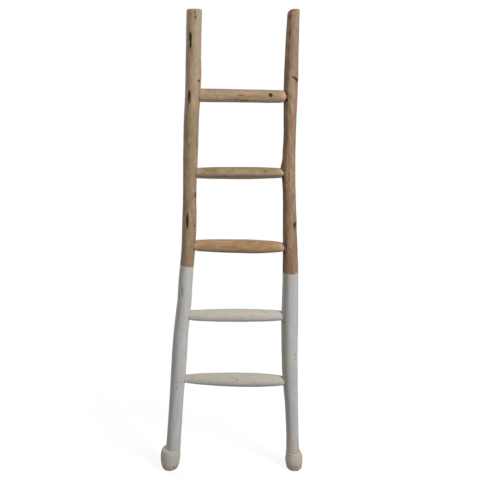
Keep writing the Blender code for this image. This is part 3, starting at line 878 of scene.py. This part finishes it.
# The last tone of each bare rung is the shade painted into its underside.
RUNG_TONES = {
    "top": {
        "pale": (0.59, 0.43, 0.265), "deep": (0.47, 0.32, 0.195), "blush": (0.5, 0.31, 0.22),
        "moss": (0.45, 0.365, 0.2), "grey": (0.43, 0.345, 0.26), "line": (0.26, 0.15, 0.075),
        "amber": (0.44, 0.255, 0.13), "streak": (0.41, 0.235, 0.11), "end": (0.65, 0.4, 0.28),
        "under": (0.42, 0.295, 0.215),
    },
    "upper": {
        "pale": (0.5, 0.375, 0.22), "deep": (0.38, 0.265, 0.155), "blush": (0.44, 0.28, 0.18),
        "moss": (0.35, 0.3, 0.15), "grey": (0.35, 0.285, 0.2), "line": (0.21, 0.125, 0.062),
        "amber": (0.37, 0.235, 0.11), "streak": (0.36, 0.23, 0.105), "end": (0.64, 0.42, 0.26),
        "under": (0.29, 0.225, 0.19),
    },
    "middle": {
        "pale": (0.64, 0.4, 0.21), "deep": (0.48, 0.285, 0.145), "blush": (0.54, 0.315, 0.2),
        "moss": (0.46, 0.31, 0.14), "grey": (0.43, 0.31, 0.21), "line": (0.25, 0.13, 0.06),
        "amber": (0.44, 0.24, 0.095), "streak": (0.43, 0.225, 0.085), "end": (0.64, 0.42, 0.31),
        "under": (0.28, 0.18, 0.125),
    },
}
# In each dip, the under colour is the shade painted into the rung's underside.
CREAM_DIP = {
    "lower": {
        "cool": (0.6, 0.58, 0.51), "warm": (0.68, 0.62, 0.51), "bleed": (0.12, 0.095, 0.075), "show": 0.3,
        "lilac": (0.61, 0.59, 0.56),
        "under": (0.54, 0.53, 0.535), "end": (0.6, 0.56, 0.55),
    },
    "bottom": {
        "cool": (0.57, 0.55, 0.48), "warm": (0.62, 0.555, 0.44), "bleed": (0.17, 0.135, 0.105), "show": 0.3,
        "lilac": (0.58, 0.56, 0.54),
        "under": (0.49, 0.49, 0.49), "end": (0.6, 0.55, 0.52),
    },
}

for rung_name, rung in RUNGS.items():
    rung["left"], rung["axis"], rung["length"], rung["rings"] = rung_rings("rung_" + rung_name)
    grid, along, turn, to_end, radius = rung_grid(rung)
    grain = straight(turn, along + rung["shift"], radius)
    x = rung["left"][0] + along
    dark = scar_and_shadow_stain(rung["scars"], radius, x, turn, 1.15)
    piece = closed_skin(
        rung_name + "_rung", grid,
        {
            "grain": grain, "scar": dark, "end": 1 - eased(to_end, *PINK_END),
            # the under layer is where shade is painted into the colour below the rung, easing out towards the
            # back
            "under": eased(-np.degrees(turn), *rung["shaded_underside"]) * eased(180 + np.degrees(turn), 10, 50),
        },
        facing=-1,
    )
    if rung["finish"] == "bare":
        finish = bare_material("bare rung " + rung_name, RUNG_TONES[rung_name], DARK_HEART_AND_SHADOW)
    else:
        finish = painted_material("painted rung " + rung_name, RUNG_TONES["top"], CREAM_DIP[rung_name])
    piece.data.materials.append(finish)
    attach(piece, "root")
    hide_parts("rung_" + rung_name)


# --------
# Feet. Two turned bulbs, dipped in thin paint that has gone pinkish over the bare wood. Each has a blind
# socket for its pole's tenon, a narrow rolled lip round it, and a counterbore in its flat sole for a screw.
# The paint is rubbed and chipped round the widest part, near the floor.
# --------

FOOT_COLUMNS = 96
FOOT_ROWS = 64
SOCKET_RADIUS = 0.0181
SOCKET_DEPTH = 0.0405
LIP_ROLL = 0.0009
RECESS_RADIUS = 0.0048
RECESS_DEPTH = 0.002
SOLE_ARRIS = 0.0012          # how far the sole's edge is worn round
PARED = 0.0015               # how much slimmer than turned a foot is worn, most at this height
PARED_HEIGHT = 0.011
PARED_REACH = 0.015
FOOT_LUMPS = 0.0003          # depth of the broad lumps, and of the rubbed roughness near the floor
FOOT_ROUGHNESS = 0.00025
ROUGH_HEIGHTS = (0.045, 0.01)     # heights between which the roughness comes in downwards, and next the
WORN_HEIGHTS = (0.04, 0.012)      # chips in the paint and the rubbed crust
RUBBED_HEIGHTS = (0.035, 0.02)
FEET = {
    "left": {
        "seed": 71, "chalk": (0.59, 0.53, 0.485), "grey": (0.54, 0.515, 0.475), "blush": (0.6, 0.48, 0.415),
    },
    "right": {
        "seed": 73, "chalk": (0.59, 0.51, 0.425), "grey": (0.53, 0.49, 0.43), "blush": (0.6, 0.46, 0.385),
    },
}


def foot_profile(rings):
    """Rows of (height, centre x, centre y, radius): up the socket's wall, over the rolled lip, down the
    outside, across the sole and up into the screw's recess."""
    heights = np.linspace(1, 0, FOOT_ROWS) ** 1.15 * rings[-1, 0]
    side = np.column_stack([heights, smooth_through(rings[:, 0], rings[:, 1:], heights)])
    top, sole = side[0], side[-1]
    side[:, 3] -= LIP_ROLL * np.exp(-((top[0] - heights) / LIP_ROLL))
    side[:, 3] -= SOLE_ARRIS * np.exp(-heights / 0.001)
    side[:, 3] -= PARED * np.exp(-(((heights - PARED_HEIGHT) / PARED_REACH) ** 2))
    rows = []
    for share, down in ((0.1, 1), (0.97, 1), (1, 0.97), (1, 0.5), (1, 0.1), (1, 0.01)):
        rows.append((top[0] - down * SOCKET_DEPTH, top[1], top[2], SOCKET_RADIUS * share))
    for share in (0.03, 0.4, 0.8):
        rows.append((top[0], top[1], top[2], SOCKET_RADIUS + share * (side[0, 3] - SOCKET_RADIUS)))
    under = []
    for share in (0.9, 0.6, 0.3, 0.03):
        under.append((0, sole[1], sole[2], RECESS_RADIUS + share * (side[-1, 3] - RECESS_RADIUS)))
    for share, up in ((1, 0.04), (1, 0.5), (1, 0.96), (0.97, 1), (0.1, 1)):
        under.append((up * RECESS_DEPTH, sole[1], sole[2], RECESS_RADIUS * share))
    return np.concatenate([np.array(rows), side, np.array(under)]), len(rows)


def foot_material(name, foot):
    """Paint over turned wood: pinkish beige mottled with grey and fine flecks, chipped to brown wood, and
    where it is rubbed near the floor, crusted with dark and pale flecks."""
    material, tree = new_material(name)
    grain = layer(tree, "grain", vector=True)
    patch = clouds(tree, grain, 60, 40, roughness=0.55)
    colour = blend(tree, between(tree, patch, 0.38, 0.62), foot["chalk"], foot["grey"])
    blush = clouds(tree, grain, 95, 60, (3, 5, 2), detail=2, roughness=0.5)
    colour = blend(tree, between(tree, blush, 0.46, 0.66, 0, 0.7), colour, foot["blush"])
    fleck = clouds(tree, grain, 420, 260, detail=4, roughness=0.7)
    colour = blend(tree, 0.22, colour, between(tree, fleck, 0.3, 0.6, 0.1, 1.0), "MULTIPLY")
    chip = clouds(tree, grain, 170, 170, (1, 1, 4), detail=4, roughness=0.65)
    worn = sums(tree, "MULTIPLY_ADD", layer(tree, "worn"), 0.16, chip)
    bare = between(tree, worn, 0.62, 0.7)
    colour = blend(tree, sums(tree, "MULTIPLY", bare, 0.65), colour, (0.3, 0.21, 0.15))
    crust = clouds(tree, grain, 235, 270, (foot["seed"], 7, 1))
    rubbed = layer(tree, "rubbed")
    for low, high, most, least, tint in (
        (0.42, 0.5, 0.88, 0, (0.15, 0.118, 0.08)), (0.53, 0.6, 0, 0.9, (0.69, 0.66, 0.56)),
    ):
        share = sums(tree, "MULTIPLY", between(tree, crust, low, high, most, least), rubbed)
        colour = blend(tree, share, colour, tint)
    film = relief(tree, bare, 0.0003, 0.8)
    return surface(
        material, colour, between(tree, bare, 0, 1, 0.7, 0.82), relief(tree, fleck, 0.0004, 0.5, film)
    )


for foot_name, foot in FEET.items():
    rings = upright_rings("foot_" + foot_name, POLES[foot_name]["side"])
    rings = rings[rings[:, 3] > 0.02]
    profile, inside_rows = foot_profile(rings)
    angle = round_angles(FOOT_COLUMNS, 0, 0.0)
    turn = np.broadcast_to(angle, (len(profile), FOOT_COLUMNS))
    height, centre_x, centre_y, radius = (np.broadcast_to(part[:, None], turn.shape) for part in profile.T)
    outside = (np.arange(len(profile)) >= inside_rows)[:, None] & (height > 0.0005)
    place = straight(turn, height)
    lumpy = FOOT_LUMPS * wander(place, (0.016, 0.016, 0.012), foot["seed"])
    rough = FOOT_ROUGHNESS * wander(place, (0.005, 0.005, 0.004), foot["seed"] + 1)
    rough = rough * eased(height, *ROUGH_HEIGHTS)
    radius = radius + np.where(outside, lumpy + rough, 0.0)
    grid = np.stack([centre_x + radius * np.sin(turn), centre_y - radius * np.cos(turn), height], axis=-1)
    piece = closed_skin(
        foot_name + "_foot", grid[::-1],
        {
            "grain": straight(turn, height, radius)[::-1], "worn": eased(height, *WORN_HEIGHTS)[::-1],
            "rubbed": eased(height, *RUBBED_HEIGHTS)[::-1],
        },
    )
    piece.data.materials.append(foot_material("painted foot " + foot_name, foot))
    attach(piece, "root")
    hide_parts("foot_" + foot_name)


# --------
# Nails. Round wire nails with small domed heads, one through each tenon, punched into the front of the
# poles. The steel has dulled to brown where it is bare, and the lower heads were dipped with the poles.
# --------

NAIL_HEAD_RADIUS = 0.0026
NAIL_DOME = 0.00035          # height of the rounded top of its head
NAIL_SHANK_RADIUS = 0.0011
NAIL_PROUD = 0.0003          # of the head's middle over the hollow's bottom


def turned_pin(name, head, axis, profile, columns, face=None):
    """A pin turned from a profile of (depth behind its head's middle, radius). A face function gives how
    much deeper a point lies, from its x and y across the head and its depth."""
    side = np.cross(axis, [0.0, 0.0, 1.0])
    if np.linalg.norm(side) < 0.1:
        side = np.array([1.0, 0.0, 0.0]) - axis[0] * axis
    side = side / np.linalg.norm(side)
    other = np.cross(axis, side)
    angle = round_angles(columns, 0, 0.0)
    depth, radius = (np.broadcast_to(part[:, None], (len(profile), columns)) for part in np.array(profile).T)
    x, y = radius * np.cos(angle), radius * np.sin(angle)
    if face is not None:
        depth = depth + face(x, y, depth)
    grid = head + depth[..., None] * axis + x[..., None] * side + y[..., None] * other
    grain = np.stack([x, y, depth], axis=-1)
    return closed_skin(name, grid, {"grain": grain})


def nail_material(name, steel, rust, metal):
    """The finish of a nail or a screw: dull metal freckled with rust, or covered in paint."""
    material, tree = new_material(name)
    grain = layer(tree, "grain", vector=True)
    freckle = noise(tree, grain, 900.0, 3.0, 0.6)
    spots = between(tree, freckle, 0.46, 0.6)
    return surface(
        material, blend(tree, spots, steel, rust), between(tree, spots, 0, 1, 0.42, 0.85),
        relief(tree, freckle, 0.0002, 0.5), 0.5, between(tree, spots, 0, 1, metal, 0),
    )


nail_finishes = {
    "bare": nail_material("dull nail", (0.2, 0.165, 0.135), (0.11, 0.062, 0.034), 0.5),
    "painted": nail_material("painted nail", (0.33, 0.325, 0.315), (0.24, 0.215, 0.19), 0.0),
}
for pole_name, pole in POLES.items():
    for rung_name, (nail_height, nail_angle) in zip(RUNG_NAMES, pole["nails"]):
        _, axis, length = pin_line(f"nail_{rung_name}_{pole_name}")
        centre = pole_middle(pole_name, np.array([nail_height]))[0]
        reach = pole_radius(pole_name, np.array([nail_height]), np.array([nail_angle]))[0] + NAIL_PROUD
        head = np.array([centre[0], centre[1], 0.0]) + straight(nail_angle, nail_height, reach)
        shares = (0.1, 0.3, 0.5, 0.7, 0.85, 0.95)
        dome = [(NAIL_DOME * share ** 2, NAIL_HEAD_RADIUS * share) for share in shares]
        profile = dome + [
            (0.00042, NAIL_HEAD_RADIUS), (0.0007, NAIL_HEAD_RADIUS), (0.001, 0.94 * NAIL_HEAD_RADIUS),
            (0.0013, 1.3 * NAIL_SHANK_RADIUS), (0.0022, NAIL_SHANK_RADIUS),
            (length - 0.0035, NAIL_SHANK_RADIUS), (length - 0.001, 0.1 * NAIL_SHANK_RADIUS),
        ]
        piece = turned_pin(f"{rung_name}_{pole_name}_nail", head, axis, profile, 28)
        piece.data.materials.append(nail_finishes[RUNGS[rung_name]["finish"]])
        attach(piece, "root")
        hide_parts(f"nail_{rung_name}_{pole_name}")


# --------
# Foot screws. A wood screw goes up through each sole into the pole's tenon, with its cross-recessed head
# sunk in the counterbore. Plain zinc-plated steel.
# --------

SCREW_HEAD_RADIUS = 0.0044
SCREW_SHANK_RADIUS = 0.0021
CROSS_DEPTH = 0.0011
CROSS_REACH = 0.0027
CROSS_HALF_WIDTH = 0.00055


def cross_recess(x, y, depth):
    """The driver's recess: two crossed slots, deepest in the middle, in the face of the head only."""
    slot = np.exp(-((np.minimum(np.abs(x), np.abs(y)) / CROSS_HALF_WIDTH) ** 4))
    reach = np.clip(1 - np.maximum(np.abs(x), np.abs(y)) / CROSS_REACH, 0, 1)
    return np.where(depth < 0.0008, CROSS_DEPTH * slot * reach ** 0.5, 0.0)


zinc = nail_material("zinc screw", (0.52, 0.52, 0.5), (0.36, 0.35, 0.32), 0.9)
for foot_name in FEET:
    head, axis, length = pin_line("foot_screw_" + foot_name)
    face_rows = [(0.0006 * share ** 2.5, SCREW_HEAD_RADIUS * share) for share in np.linspace(0.03, 0.98, 20)]
    profile = face_rows + [
        (0.0009, SCREW_HEAD_RADIUS), (0.0012, 0.97 * SCREW_HEAD_RADIUS), (0.0028, SCREW_SHANK_RADIUS),
        (0.004, SCREW_SHANK_RADIUS), (length - 0.005, SCREW_SHANK_RADIUS), (length, 0.1 * SCREW_SHANK_RADIUS),
    ]
    piece = turned_pin(foot_name + "_foot_screw", head, axis, profile, 64, cross_recess)
    piece.data.materials.append(zinc)
    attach(piece, "root")
    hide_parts("foot_screw_" + foot_name)


# --------
# Studio. A plain white floor that fades into a white surround, one large soft light from the upper right, a
# weak fill from behind on the left, and a camera at standing eye height, 2.2 m in front and tilted down.
# --------

FLOOR_REACH = 1.6
FLOOR_SINK = 0.0004          # below the soles, so that the two don't flicker
FLOOR_RINGS = 24
FLOOR_COLUMNS = 96


def floor_material():
    """Matte white that mostly glows to the camera, so that its shadows stay faint, and grows see-through
    from half a metre out, so that it has no edge. What it sends back up to the ladder is plain dull
    white."""
    material, tree = new_material("studio floor")
    place = node(tree, "TexCoord", {}, "Object")
    length = node(tree, "VectorMath", {0: place}, "Value", operation="LENGTH")
    seen = node(tree, "LightPath", {}, "Is Camera Ray")
    inputs = tree.nodes["Principled BSDF"].inputs
    for title, value in (
        ("Base Color", blend(tree, seen, (0.45, 0.45, 0.45), (0.24, 0.24, 0.24))),
        ("Emission Color", (1, 1, 1)), ("Emission Strength", between(tree, seen, 0, 1, 0, 0.83)),
        ("Roughness", 1), ("Specular IOR Level", 0),
        ("Alpha", between(tree, length, 0.35, 1.2, 1, 0)),
    ):
        put(tree, inputs[title], value)
    return material


def studio_world():
    """Pure white to the camera, and a softer white as light."""
    world = bpy.data.worlds.new("studio")
    world.use_nodes = True
    tree = world.node_tree
    inputs = tree.nodes["Background"].inputs
    put(tree, inputs["Color"], (1, 1, 1))
    put(tree, inputs["Strength"], between(tree, node(tree, "LightPath", {}, "Is Camera Ray"), 0, 1, 0.36, 1))
    return world


def soft_light(name, place, aim, size, watts):
    """Adds a square area light that faces its aim."""
    light = bpy.data.lights.new(name, "AREA")
    light.size = size
    light.energy = watts
    lamp = placed(name, light)
    lamp.location = place
    gaze = Vector(aim) - Vector(place)
    lamp.rotation_euler = gaze.to_track_quat("-Z", "Y").to_euler()


around = np.arange(FLOOR_COLUMNS) * 2 * np.pi / FLOOR_COLUMNS
reach = np.linspace(0.02, FLOOR_REACH, FLOOR_RINGS)[:, None]
disc = np.stack([reach * np.cos(around), reach * np.sin(around), 0 * reach * around - FLOOR_SINK], axis=-1)
floor_mesh = bpy.data.meshes.new("floor")
row = np.arange(FLOOR_RINGS * FLOOR_COLUMNS).reshape(FLOOR_RINGS, FLOOR_COLUMNS)
ring_faces = np.stack([row[:-1], row[1:], np.roll(row[1:], -1, 1), np.roll(row[:-1], -1, 1)], axis=-1)
floor_faces = [*ring_faces.reshape(-1, 4).tolist(), row[0].tolist()]
floor_mesh.from_pydata(disc.reshape(-1, 3).tolist(), [], floor_faces)
floor = placed("floor", floor_mesh)
floor_mesh.materials.append(floor_material())

bpy.context.scene.world = studio_world()
soft_light("key", (2.6, -2.4, 2.9), (0, 0, 0.8), 1.6, 118)
soft_light("fill", (-2.4, 2.6, 2.2), (0, 0, 0.8), 2.0, 40)

camera_data = bpy.data.cameras.new("camera")
camera_data.sensor_width = 36
camera_data.lens = 51.08
camera = placed("camera", camera_data)
camera.location = (0.0312, -2.2, 1.5389)
camera.rotation_euler = (np.radians(73.5), 0, 0)
bpy.context.scene.camera = camera
bpy.context.scene.view_settings.view_transform = "Standard"

bpy.context.view_layer.update()
